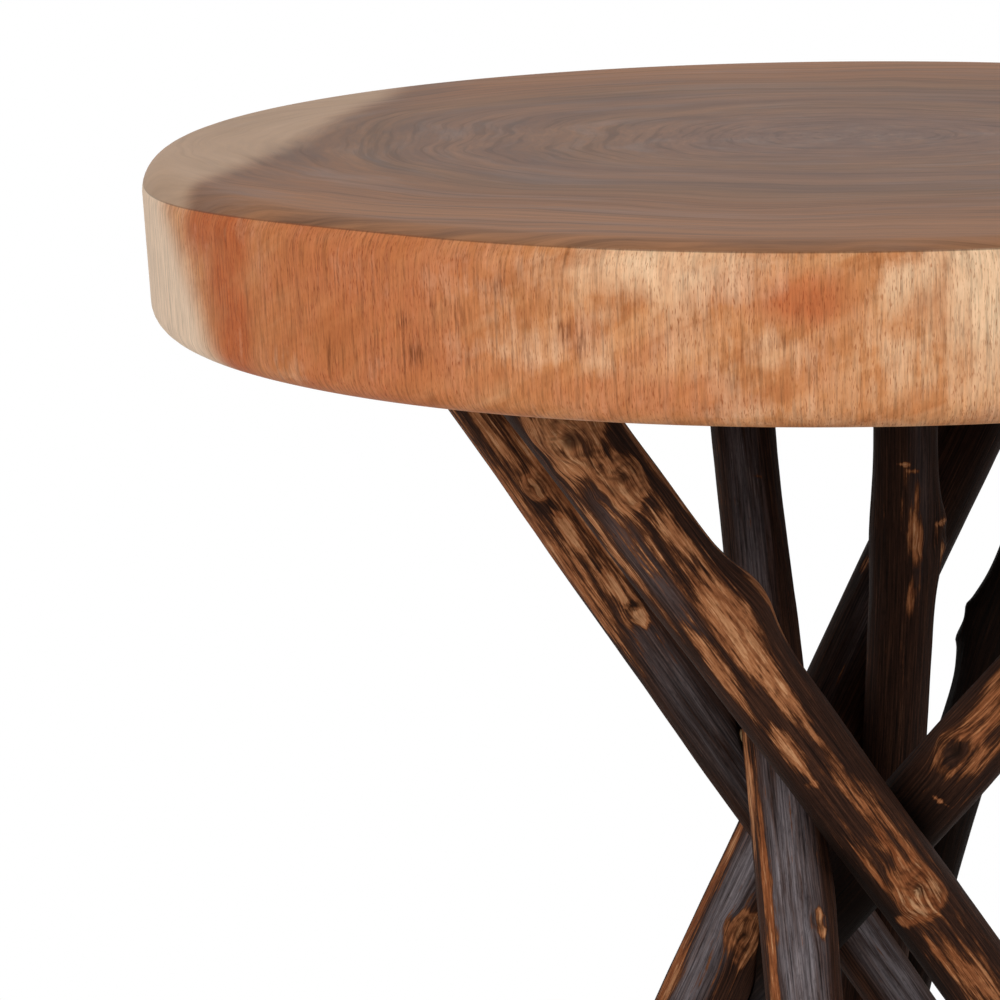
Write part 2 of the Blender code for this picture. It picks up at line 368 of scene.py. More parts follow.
FLECKS = (
    (0.4228, 226.4, 2.5, 1.6, 0.9), (0.4193, 235.5, 3.0, 2.2, 0.9), (0.4268, 237.9, 2.6, 2.4, 0.9),
    (0.4080, 236.4, 3.0, 5.0, 0.9), (0.4040, 227.6, 6.0, 2.0, 0.8), (0.4240, 240.5, 5.0, 3.0, 0.5),
    (0.4203, 249.5, 3.0, 3.5, 0.7), (0.4157, 250.6, 4.0, 2.5, 0.7), (0.4340, 244.0, 3.0, 2.5, 0.6),
    (0.4100, 246.0, 7.0, 3.0, 0.5), (0.4180, 266.0, 2.0, 9.0, 0.4), (0.4260, 232.0, 4.0, 1.6, 0.5),
)

scatter = random.Random(11)
for count in range(14):
    facing = scatter.uniform(292, 560)
    level = scatter.uniform(0.395, 0.445)
    WARM += ((level, facing, scatter.uniform(8, 30), scatter.uniform(10, 30), scatter.uniform(0.4, 0.9)),)
    PALE_AND_SHEEN += ((level - 0.01, facing + 15, scatter.uniform(5, 25), scatter.uniform(10, 30), 0.3),)
    FLECKS += ((level, facing + 4, 3.0, 2.5, 0.7), (level - 0.008, facing + 8, 5.0, 2.0, 0.6))

slab_points = np.array([vert.co for vert in slab_bm.verts])
x, y, z = slab_points.T
angle = np.arctan2(y, x)
drift = noise_field(slab_points, DRIFT_CELL, 3)
ripple = noise_field(slab_points, RIPPLE_CELL, 4)
from_pith = np.hypot(x - PITH[0], (y - PITH[1]) * RING_STRETCH)
ring = from_pith + RING_DRIFT * drift + RING_RIPPLE * ripple
ring_turn = np.arctan2((y - PITH[1]) * RING_STRETCH, x - PITH[0])

edge_line = SAP_EDGE + SAP_SLANT * y + SAP_DRIFT * drift + SAP_RIPPLE * ripple
edge_line -= SAP_BEND * np.clip(SAP_BEND_FROM - y, 0.0, None)
sap_top = smooth_step(edge_line - x, *SAP_TOP_FADE)
border = smooth_step(edge_line - x, *SAP_SHADE_FADE) * (1.0 - sap_top)
rim_line = edge_line + SAP_RIM_SHIFT + SAP_RIM_LEAN * (SLAB_UNDER + UNDER_EDGE - z)
sap_rim = smooth_step(rim_line - x, *SAP_RIM_FADE)

seam_rise = smooth_step(np.abs(wrapped(angle - SEAM_LOW_AT)), 0.0, SEAM_LOW_REACH)
seam_turn = SEAM_LOW_TURN + (SEAM_TURN - SEAM_LOW_TURN) * seam_rise
seam_height = SLAB_TOP - TOP_EDGE * (1.0 - np.sin(seam_turn))
upper = np.clip(0.5 + (z - seam_height) / SEAM_WIDTH, 0.0, 1.0)
lower = np.clip(0.5 + (SLAB_UNDER + UNDER_SEAM - z) / UNDER_SEAM_WIDTH, 0.0, 1.0)
out_to = np.hypot(x, y)
climb = z + np.where(z > SLAB_TOP - TOP_EDGE, SLAB_RADIUS - out_to, 0.0)
climb -= np.where(z < SLAB_UNDER + UNDER_EDGE, SLAB_RADIUS - RIM_DRAFT - out_to, 0.0)
rim_clouds_and_sheen = [mark_strength(marks, z, angle, SLAB_RADIUS) for marks in (WARM, PALE_AND_SHEEN, FLECKS)]
store_values(slab_bm, {
    "grain_at": np.stack([RING_LANE * np.cos(ring_turn), RING_LANE * np.sin(ring_turn), ring], axis=1),
    "sapwood": np.stack([sap_top, sap_rim, border], axis=1),
    "clouds_and_sheen": np.stack(rim_clouds_and_sheen, axis=1),
    "face": np.stack([np.maximum(upper, lower), ring, 0.0 * ring], axis=1),
    "rim_at": np.stack([SLAB_RADIUS * np.cos(angle), SLAB_RADIUS * np.sin(angle), climb], axis=1),
    "unrolled": np.stack([SLAB_RADIUS * angle, climb, 0.0 * climb], axis=1),
})
print("slab marks:", len(WARM) + len(PALE_AND_SHEEN) + len(FLECKS))

# %% [markdown]
# ## Slab wood, upper face
#
# The sawn and sanded face has streaks along the rings: broad ones about 13 mm apart, dark growth lines
# about 4 mm apart, and fine ones, drawn 2 mm apart so that they still show at a low angle. The
# heartwood is a dull brown that warms toward the edge, with patches of painted grey sheen that stand in
# for the satin lacquer's reflection, and a darker zone where it meets the sapwood. Each pattern below is
# given by the size of its cells in millimetres, twice along the ring and once across it, and by how much
# fine detail its noise has.

# %% Slab material, upper face
TOP_GRAIN = {
    "broad": ((62.5, 62.5, 13.333), 4.0, 0.58),
    "fine": ((16.667, 16.667, 2.1739), 4.0, 0.72),
    "sheen_haze": ((71.43, 71.43, 16.667), 4.0, 0.60),
    "year": ((111.11, 111.11, 3.7037), 3.0, 0.55),
}
TOP_TINTS = (
    ("broad", 0.50, 0.74, 0.45, "#8C6850"),
    ("broad", 0.46, 0.26, 0.60, "#5A443A"),
    # The grey haze tint is a painted sheen, standing in for the lacquer's reflection of the white
    # surroundings.
    ("sheen_haze", 0.52, 0.74, 0.40, "#7A6D69"),
)
slab_look, tree = new_tree("satin_lacquered_hardwood", bpy.data.materials)
lane = put(tree, "Attribute", attribute_name="grain_at")["Vector"]
sapwood = put(tree, "Attribute", attribute_name="sapwood")["Vector"]
sap_on_top, sap_on_rim, near_sap = put(tree, "SeparateXYZ", {0: sapwood})
face = put(tree, "Attribute", attribute_name="face")["Vector"]
raised, ring_size = put(tree, "SeparateXYZ", {0: face})[:2]
on_top = put(tree, "MapRange", {"Value": raised, "From Min": 0.44, "From Max": 0.56})["Result"]

streak = {}
for label, (size_mm, detail, roughness) in TOP_GRAIN.items():
    per_metre = [1000.0 / size for size in size_mm]
    cells = put(tree, "VectorMath", {0: lane, 1: per_metre}, operation="MULTIPLY")[0]
    streak[label] = put(tree, "TexNoise", {
        "Vector": cells, "Scale": 1.0, "Detail": detail, "Roughness": roughness})["Fac"]

outward = put(tree, "MapRange", {"Value": ring_size, "From Min": 0.0, "From Max": 0.30})["Result"]
heart = put(tree, "ValToRGB", {"Fac": outward}, (
    (0.00, "#6C554B"), (0.22, "#715547"), (0.38, "#775844"), (0.45, "#6A4F41"), (0.51, "#7A5A47"),
    (0.58, "#6B5041"), (0.64, "#765640"), (0.76, "#7B563E"), (0.92, "#8A6043")))["Color"]
for label, start, end, share, tint in TOP_TINTS:
    amount = put(tree, "MapRange", {
        "Value": streak[label], "From Min": start, "From Max": end, "To Max": share})["Result"]
    heart = put(tree, "Mix", {0: amount, 6: heart, 7: tint}, data_type="RGBA")[2]
shade = put(tree, "Math", {0: near_sap, 1: 0.36}, operation="MULTIPLY")[0]
heart = put(tree, "Mix", {0: shade, 6: heart, 7: "#5E493E"}, data_type="RGBA")[2]

sap = put(tree, "ValToRGB", {"Fac": streak["broad"]}, ((0.30, "#A1856D"), (0.70, "#AC8F77")))["Color"]
top_colour = put(tree, "Mix", {0: sap_on_top, 6: heart, 7: sap}, data_type="RGBA")[2]
faint = put(tree, "MapRange", {"Value": sap_on_top, "To Min": 1.0, "To Max": 0.35})["Result"]
streaks = put(tree, "ValToRGB", {"Fac": streak["fine"]}, ((0.30, 0.74), (0.50, 0.95), (0.70, 1.13)))["Color"]
years = put(tree, "ValToRGB", {"Fac": streak["year"]}, (
    (0.36, 0.74), (0.46, 1.0), (0.56, 1.0), (0.66, 1.10)))["Color"]
for shading in (streaks, years):
    top_colour = put(tree, "Mix", {
        0: faint, 6: top_colour, 7: shading}, data_type="RGBA", blend_type="MULTIPLY")[2]
print("nodes for the upper face:", len(tree.nodes))

# %% [markdown]
# ## Slab wood, rim
#
# Round the rim the grain stands upright. Pores are dark dashes a third of a millimetre wide and about
# 2.6 mm long, between upright lines 1 mm wide and 15 mm long. Soft clouds of about 25 mm, and a faint
# figure that slants at 30 degrees, change the colour from red-brown at the left to sand at the right.
# The patterns read the rim as if the eased edges were rolled flat, so no dash shrinks to a dot there.

# %% Slab material, rim
RIM_GRAIN = {
    "cloud": ((26.316, 26.316, 25.0), 5.0, 0.60),
    "brush": ((3.5714, 3.5714, 27.778), 3.0, 0.60),
    "line": ((1.0, 1.0, 15.385), 3.0, 0.68),
    "pore": ((0.33333, 0.33333, 2.6316), 1.0, 0.50),
}
FIGURE_MM = (45.455, 9.5238)
FIGURE_SLANT = math.radians(-30.0)
skin_at = put(tree, "Attribute", attribute_name="rim_at")["Vector"]
clouds_and_sheen = put(tree, "Attribute", attribute_name="clouds_and_sheen")["Vector"]
warm, pale_and_sheen, fleck = put(tree, "SeparateXYZ", {0: clouds_and_sheen})

upright = {}
for label, (size_mm, detail, roughness) in RIM_GRAIN.items():
    per_metre = [1000.0 / size for size in size_mm]
    cells = put(tree, "VectorMath", {0: skin_at, 1: per_metre}, operation="MULTIPLY")[0]
    upright[label] = put(tree, "TexNoise", {
        "Vector": cells, "Scale": 1.0, "Detail": detail, "Roughness": roughness})["Fac"]
mottle = put(tree, "Math", {0: upright["brush"], 1: 0.5, 2: upright["cloud"]}, operation="MULTIPLY_ADD")[0]

flat_at = put(tree, "Attribute", attribute_name="unrolled")["Vector"]
slanted = put(tree, "VectorRotate", {
    "Vector": flat_at, "Angle": FIGURE_SLANT}, rotation_type="Z_AXIS")["Vector"]
per_metre = [1000.0 / FIGURE_MM[0], 1000.0 / FIGURE_MM[1], 1.0]
cells = put(tree, "VectorMath", {0: slanted, 1: per_metre}, operation="MULTIPLY")[0]
figure = put(tree, "TexNoise", {
    "Vector": cells, "Scale": 1.0, "Detail": 3.0, "Roughness": 0.55, "Distortion": 0.4})["Fac"]
print("nodes with the rim's patterns:", len(tree.nodes))

# %% Slab material, rim colours
FIGURE_TINTS = ((0.50, 0.74, 0.40, "#D6A87C"), (0.48, 0.28, 0.45, "#96552E"))
# The pale tint also lays the painted highlight on the upper edge of the rim.
CLOUD_AND_SHEEN_TINTS = ((warm, 0.96, 1.76, "#AB5C33"), (pale_and_sheen, 1.00, 1.80, "#DDB995"))
rim_colour = put(tree, "ValToRGB", {"Fac": mottle}, (
    (0.52, "#A96A3F"), (0.70, "#BA7D50"), (0.82, "#C38D64"), (0.98, "#CE9F78")))["Color"]
for start, end, share, tint in FIGURE_TINTS:
    amount = put(tree, "MapRange", {
        "Value": figure, "From Min": start, "From Max": end, "To Max": share})["Result"]
    rim_colour = put(tree, "Mix", {0: amount, 6: rim_colour, 7: tint}, data_type="RGBA")[2]
for marks, start, end, tint in CLOUD_AND_SHEEN_TINTS:
    amount = put(tree, "Math", {0: mottle, 1: 1.2, 2: marks}, operation="MULTIPLY_ADD")[0]
    amount = put(tree, "MapRange", {"Value": amount, "From Min": start, "From Max": end})["Result"]
    rim_colour = put(tree, "Mix", {0: amount, 6: rim_colour, 7: tint}, data_type="RGBA")[2]
bold = put(tree, "MapRange", {"Value": upright["line"], "From Min": 0.60, "From Max": 0.40})["Result"]
spots = put(tree, "Math", {0: fleck, 1: bold}, operation="MULTIPLY")[0]
rim_colour = put(tree, "Mix", {0: spots, 6: rim_colour, 7: "#7C4426"}, data_type="RGBA")[2]
rim_colour = put(tree, "Mix", {0: sap_on_rim, 6: rim_colour, 7: "#DBC0A6"}, data_type="RGBA")[2]

lines = put(tree, "ValToRGB", {"Fac": upright["line"]}, ((0.30, 0.63), (0.50, 1.0), (0.70, 1.18)))["Color"]
dashes = put(tree, "ValToRGB", {"Fac": upright["pore"]}, ((0.30, "#C6A792"), (0.42, 1.0)))["Color"]
crowded = put(tree, "MapRange", {
    "Value": mottle, "From Min": 0.60, "From Max": 0.92, "To Min": 0.45})["Result"]
open_pores = put(tree, "MapRange", {"Value": sap_on_rim, "To Min": crowded, "To Max": 0.15})["Result"]
for amount, shading in ((1.0, lines), (open_pores, dashes)):
    rim_colour = put(tree, "Mix", {
        0: amount, 6: rim_colour, 7: shading}, data_type="RGBA", blend_type="MULTIPLY")[2]
print("nodes with the rim:", len(tree.nodes))

# %% [markdown]
# ## Slab wood, finish
#
# The two faces meet in a crisp, darker line on the rounded upper edge. The lacquer is thin, so the
# gloss is soft, and the pores are felt as much as seen.

# %% Slab material, finish
colour = put(tree, "Mix", {0: on_top, 6: rim_colour, 7: top_colour}, data_type="RGBA")[2]
seam = put(tree, "ValToRGB", {"Fac": on_top}, (
    (0.0, 1.0), (0.30, 0.58), (0.60, 0.64), (1.0, 1.0)))["Color"]
colour = put(tree, "Mix", {0: 1.0, 6: colour, 7: seam}, data_type="RGBA", blend_type="MULTIPLY")[2]
rough = put(tree, "MapRange", {"Value": streak["fine"], "To Min": 0.46, "To Max": 0.64})["Result"]
relief = put(tree, "Mix", {0: on_top, 6: dashes, 7: streaks}, data_type="RGBA")[2]
bump = put(tree, "Bump", {"Height": relief, "Strength": 0.2, "Distance": 0.0003})["Normal"]
lacquered = put(tree, "BsdfPrincipled", {
    "Base Color": colour, "Roughness": rough, "Normal": bump,
    "IOR": 1.45, "Specular IOR Level": 0.08})["BSDF"]
put(tree, "OutputMaterial", {"Surface": lacquered})

slab = finish_piece("slab", slab_bm, slab_look, math.radians(40))
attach(slab, "root")
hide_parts("table_top")
print("slab faces:", len(slab.data.polygons))

# %% [markdown]
# ## The sticks' places
#
# Each stick is a peeled branch that leans from one side of the table to the other. Its middle line
# is a smooth curve through three places: at the floor, at the waist of the bundle and at the slab.
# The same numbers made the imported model, so the dressed sticks fall exactly where its sticks are.
# The order matters: where two sticks run into each other, the later one is scribed to the earlier.

# %% Stick places
WAIST_HEIGHT = 0.195
FOOT_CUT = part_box("stick_front")[0][2]
TOP_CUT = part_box("stick_front")[1][2]

STICKS = {
    "front": ((0.139, 0.042), (0.018, -0.045), (-0.105, -0.129), 0.0260, 0.0324),
    "centre": ((0.004, -0.183), (-0.019, -0.040), (-0.043, 0.121), 0.0276, 0.0236),
    "left": ((0.092, 0.073), (-0.024, 0.009), (-0.145, -0.044), 0.0230, 0.0224),
    "long": ((-0.119, -0.119), (-0.018, 0.042), (0.086, 0.162), 0.0300, 0.0308),
    "right": ((-0.133, 0.084), (0.018, -0.015), (0.176, -0.064), 0.0280, 0.0296),
    "upright": ((-0.006, 0.077), (0.019, 0.050), (0.024, 0.026), 0.0256, 0.0240),
    "bent": ((0.004, 0.103), (0.044, 0.078), (0.118, 0.102), 0.0230, 0.0236),
}


def middle_line(name, heights):
    """Points of a stick's middle line at an array of heights."""
    foot, waist, top = (np.array(place) for place in STICKS[name][:3])
    z = np.asarray(heights, dtype=float)[..., None]
    at_foot = (z - WAIST_HEIGHT) * (z - SLAB_UNDER) / (WAIST_HEIGHT * SLAB_UNDER)
    at_waist = z * (z - SLAB_UNDER) / (WAIST_HEIGHT * (WAIST_HEIGHT - SLAB_UNDER))
    at_top = z * (z - WAIST_HEIGHT) / (SLAB_UNDER * (SLAB_UNDER - WAIST_HEIGHT))
    return np.concatenate([foot * at_foot + waist * at_waist + top * at_top, z], axis=-1)


def plain_radius(name, heights):
    """Radius of a stick without its knots."""
    low, high = STICKS[name][3:]
    share = np.clip(np.asarray(heights) / SLAB_UNDER, 0.0, 1.0)
    return 0.5 * (low + share * (high - low))


print("sticks:", ", ".join(STICKS))

# %% [markdown]
# ## Swellings and knots
#
# A branch keeps the marks of its twigs. A swelling is a mark whose strength is its rise in
# millimetres. A knot is a height, a direction and the radius in millimetres within which the grain
# flows round it.

# %% Swellings and knots
SWELLINGS = {
    "front": (
        (0.292, 20, 16, 14, 5.2), (0.371, 281, 9, 9, 1.2), (0.352, 305, 8, 6, 0.8),
        (0.188, 296, 7, 7, 1.5),
    ),
    "centre": ((0.170, 309, 12, 8, 0.8), (0.187, 0, 28, 9, 2.0), (0.150, 0, 40, 9, 1.6)),
    "left": ((0.333, 280, 7, 5, 0.9), (0.284, 296, 5, 4, 0.6), (0.180, 0, 24, 9, 1.6)),
    "long": ((0.149, 299, 8, 8, 1.3), (0.222, 355, 30, 14, 2.6)),
    "right": ((0.233, 235, 10, 9, 1.5),),
    "upright": ((0.297, 0, 17, 9, 3.2), (0.300, 180, 15, 9, 0.8), (0.122, 195, 40, 9, 1.6)),
    "bent": ((0.250, 178, 15, 10, 4.8),),
}
KNOTS = {
    "front": ((0.371, 281, 7.0), (0.352, 306, 5.0), (0.188, 297, 6.0)),
    "centre": ((0.170, 309, 2.5),),
    "left": ((0.333, 280, 3.0), (0.284, 296, 3.0)),
    "long": ((0.149, 299, 5.0),),
    "right": ((0.233, 238, 5.0),),
    "upright": ((0.299, 350, 4.0),),
    "bent": ((0.250, 178, 5.0),),
}
print("knots:", sum(len(knots) for knots in KNOTS.values()))

# %% [markdown]
# ## Rubbed patches, amber streaks, ash and soot, with painted highlight, sheen and shade
#
# The sticks were scorched dark and then rubbed. Bare brown wood shows in long pointed patches, and
# one of them is a painted highlight along a lit edge. Amber streaks run beside them, some faces keep a
# grey bloom that is partly ash and partly a painted sheen on the lit char, and the inner faces are
# painted near black, partly soot and partly painted shade where sticks cross and lie under the slab.

# %% Rubbed patches and a painted edge highlight
BARE_AND_EDGE_HIGHLIGHT = {
    "front": (
        (0.374, 300, 13, 15, 0.66), (0.350, 307, 11, 6, 0.75), (0.330, 314, 14, 2.6, 0.85),
        (0.293, 305, 26, 6.4, 1.0), (0.268, 303, 20, 3.6, 0.85), (0.238, 306, 40, 1.3, 0.8),
        (0.284, 253, 22, 3.0, 0.9), (0.251, 266, 12, 3.4, 1.0), (0.208, 298, 16, 1.1, 0.85),
        (0.224, 297, 18, 0.9, 0.85), (0.237, 266, 2.0, 3.0, 0.6), (0.186, 299, 9, 7.0, 0.75),
        (0.180, 250, 3, 4.0, 0.9), (0.163, 262, 10, 2.0, 0.75), (0.150, 290, 18, 5.0, 0.62),
        (0.286, 20, 13, 2.6, 0.95), (0.322, 12, 20, 2.0, 0.75), (0.377, 247, 10, 3.0, 0.75),
        (0.330, 233, 36, 2.4, 0.85), (0.315, 325, 24, 1.2, 0.75), (0.335, 290, 50, 10, 0.36),
        (0.345, 5, 28, 3.6, 0.85), (0.362, 262, 12, 7.0, 0.60),
        (0.288, 12, 15, 4.0, 0.95), (0.205, 318, 26, 1.0, 0.75), (0.202, 256, 12, 1.2, 0.7),
    ),
    "centre": (
        (0.216, 200, 22, 3.6, 0.85), (0.182, 226, 38, 1.9, 0.75), (0.150, 221, 26, 2.2, 0.75),
        (0.170, 309, 6, 1.3, 0.9), (0.310, 285, 0.8, 3.0, 0.8), (0.110, 225, 30, 2.2, 0.7),
    ),
    "left": (
        (0.347, 303, 10, 1.6, 1.0), (0.333, 277, 5, 1.4, 1.5), (0.316, 281, 9, 2.0, 1.5),
        (0.293, 291, 8, 1.7, 1.5), (0.280, 297, 4, 2.0, 1.6), (0.330, 208, 48, 2.4, 0.85),
        (0.318, 312, 30, 1.3, 0.8), (0.300, 245, 30, 1.2, 0.65), (0.356, 262, 14, 2.4, 0.8),
        (0.330, 262, 64, 26, 0.34), (0.300, 226, 40, 3.0, 0.75),
    ),
    "long": (
        (0.267, 222, 5, 2.6, 0.75), (0.150, 212, 40, 2.6, 0.8), (0.172, 214, 12, 3.0, 0.95),
        (0.130, 222, 12, 4.0, 0.85), (0.155, 295, 0.9, 4.5, 0.9), (0.149, 299, 6, 6.0, 0.52),
    ),
    "right": (
        (0.249, 226, 15, 2.6, 0.55), (0.250, 246, 14, 1.8, 0.55), (0.238, 276, 15, 1.8, 0.64),
        # On the right stick the bare mark at 0.222 m and 304 degrees is a painted highlight along its lower
        # edge.
        (0.218, 268, 0.9, 4.5, 0.95), (0.222, 304, 22, 1.4, 0.6), (0.262, 205, 14, 2.0, 0.8),
        (0.255, 255, 25, 8, 0.12),
    ),
    "upright": (
        (0.300, 289, 9, 2.6, 0.9), (0.277, 284, 7, 1.2, 0.9), (0.328, 266, 0.8, 2.6, 0.95),
        (0.325, 286, 0.7, 2.4, 0.9), (0.304, 340, 0.8, 3.0, 0.8), (0.314, 292, 8, 1.0, 0.7),
    ),
    "bent": ((0.170, 350, 20, 1.6, 0.5),),
}
print("rubbed patches on the front stick:", len(BARE_AND_EDGE_HIGHLIGHT["front"]))

# %% Amber, ash with painted sheen, and soot with painted shade
AMBER = {
    "front": ((0.300, 300, 60, 10, 0.22), (0.190, 285, 60, 16, 0.9)),
    "centre": ((0.310, 190, 50, 4.0, 0.9), (0.170, 224, 70, 3.5, 1.0)),
    "left": ((0.320, 230, 60, 9.0, 0.6), (0.330, 300, 50, 5.0, 0.6)),
    "long": ((0.150, 214, 60, 5.0, 1.0), (0.140, 290, 20, 7.0, 0.6)),
    "right": ((0.240, 240, 40, 14, 0.7),),
    "upright": ((0.300, 285, 40, 5.0, 0.6),),
    "bent": ((0.200, 300, 60, 6.0, 0.2),),
}
# These marks lay a grey bloom that is partly ash and partly a painted sheen on lit char, as the grey bands
# on the lower centre, long and left sticks.
ASH_AND_SHEEN = {
    "front": ((0.325, 262, 30, 4.0, 0.3),),
    "centre": ((0.160, 268, 75, 9.0, 1.0), (0.300, 262, 60, 6.0, 0.55)),
    "left": ((0.235, 285, 45, 7.0, 0.5), (0.135, 310, 50, 7.0, 0.9)),
    "long": ((0.150, 258, 70, 6.0, 0.9), (0.255, 262, 40, 6.0, 0.3)),
    "right": ((0.110, 280, 60, 8.0, 0.6),),
    "upright": ((0.330, 300, 40, 4.0, 0.2),),
    "bent": (),
}
# These marks paint the skin near black: partly soot, partly painted shade where sticks cross behind others
# and lie under the slab.
SOOT_AND_SHADE = {
    "front": ((0.190, 222, 70, 7, 0.8),),
    "centre": ((0.335, 270, 80, 30, 0.22),),
    "left": ((0.225, 290, 45, 14, 0.6),),
    "long": ((0.300, 250, 100, 40, 0.5),),
    "right": ((0.200, 255, 26, 18, 1.0), (0.150, 265, 80, 40, 0.9)),
    "upright": ((0.250, 270, 170, 40, 0.32),),
    "bent": ((0.250, 220, 260, 60, 0.9),),
}

# The faces turned away from the front get marks of the same kinds, scattered with a fixed seed.
scatter = random.Random(7)
for name in STICKS:
    hidden = []
    for count in range(16):
        level = scatter.uniform(0.02, 0.38)
        facing = scatter.uniform(0, 360) if level < 0.10 else scatter.uniform(30, 160)
        half_length, half_width = scatter.uniform(5, 28), scatter.uniform(1.2, 4.5)
        hidden.append((level, facing, half_length, half_width, scatter.uniform(0.6, 0.95)))
    BARE_AND_EDGE_HIGHLIGHT[name] += tuple(hidden)
    AMBER[name] += tuple((mark[0], mark[1], mark[2] * 2.0, mark[3] * 2.5, 0.8) for mark in hidden[::2])
    ASH_AND_SHEEN[name] += tuple((level, scatter.uniform(30, 160), 60, 7.0, 0.6) for level in (0.05, 0.30))
print("marks of all kinds:", sum(len(row) for kind in (BARE_AND_EDGE_HIGHLIGHT, AMBER, ASH_AND_SHEEN, SOOT_AND_SHADE) for row in kind.values()))

# %% [markdown]
# ## Stick shape
#
# A stick starts as a plain cylinder, cut into many short rings, whose points are then carried onto
# the branch's own line. Its radius follows the taper, the swellings, a slow unevenness and the fine
# ridges of brushed wood. At every knot the grain is bent into rings. The place of each point along and
# round the straightened stick, how bare or painted with an edge highlight, how ashy or painted with
# sheen, how amber, how sooty or painted with shade it is, and how far it lies in a knot, are stored
# for the material. The unevenness is written as its rise and the size of its cells.

# %% Stick surface
AROUND = 72
RINGS = 330
OVERRUN = 0.030
KNOT_STRETCH = 1.35
KNOT_WOBBLE = 0.4
KNOT_CELL = (0.005, 0.005, 0.007)
GRAIN_BEND = 0.45
COLLAR_RISE = 0.0007
HEART_DENT = 0.0013
RUB_DEPTH = 0.00035
SCRIBE_GAP = 0.0010
TRACE_POINTS = 500
TRACE_BLOCKS = 8
UNEVENNESS = (
    (0.0008, (0.025, 0.025, 0.070), 0),
    (0.00025, (0.003, 0.003, 0.045), 3),
    (0.00012, (0.0011, 0.0011, 0.016), 5),
)


def knotted_grain(name, height, angle, base, lean):
    """Grain turn bent at the knots, relief, and how far a point is in a knot's core or halo."""
    turned = angle.copy()
    relief, core, halo = (np.zeros_like(height) for count in range(3))
    places = np.stack([base * np.cos(angle), base * np.sin(angle), height], axis=1)
    wobble = noise_field(places, KNOT_CELL, 2)
    for level, facing, half_length, half_width, rise in SWELLINGS[name]:
        along = (height - level) / lean / (half_length * 0.001)
        across = wrapped(angle - math.radians(facing)) * base / (half_width * 0.001)
        relief += 0.001 * rise * np.exp(-along ** 2 - across ** 2)
    for level, facing, size in KNOTS[name]:
        across = wrapped(angle - math.radians(facing)) * base
        reach = np.hypot((height - level) / lean / KNOT_STRETCH, across) / (size * 0.001)
        reach *= 1.0 + KNOT_WOBBLE * wobble
        turned += GRAIN_BEND * np.exp(-(reach / 1.3) ** 2) * (reach * size * 0.001 - across) / base
        collar, dent = np.exp(-((reach - 1.0) / 0.4) ** 2), np.exp(-(reach / 0.5) ** 2)
        relief += COLLAR_RISE * collar - HEART_DENT * dent
        rings = 0.7 * np.exp(-((reach - 0.78) / 0.10) ** 2) + 0.6 * np.exp(-((reach - 1.2) / 0.09) ** 2)
        core = np.maximum(core, np.exp(-(reach / 0.42) ** 4) + rings)
        halo = np.maximum(halo, np.exp(-((reach - 1.25) / 0.45) ** 2))
    return turned, relief, core, halo


def scribe(points, name):
    """Move points that would lie inside an earlier stick out to its surface."""
    for other in list(STICKS)[:list(STICKS).index(name)]:
        trace = np.linspace(-OVERRUN, SLAB_UNDER + OVERRUN, TRACE_POINTS)
        path = middle_line(other, trace)
        nearest = np.concatenate([
            ((block[:, None, :] - path[None]) ** 2).sum(axis=2).argmin(axis=1)
            for block in np.array_split(points, TRACE_BLOCKS)])
        away = points - path[nearest]
        distance = np.linalg.norm(away, axis=1)[:, None]
        needed = plain_radius(other, trace[nearest])[:, None] + SCRIBE_GAP
        points = np.where(distance < needed, path[nearest] + away / distance * needed, points)
    return points


print("points on a stick:", AROUND * (RINGS + 2))


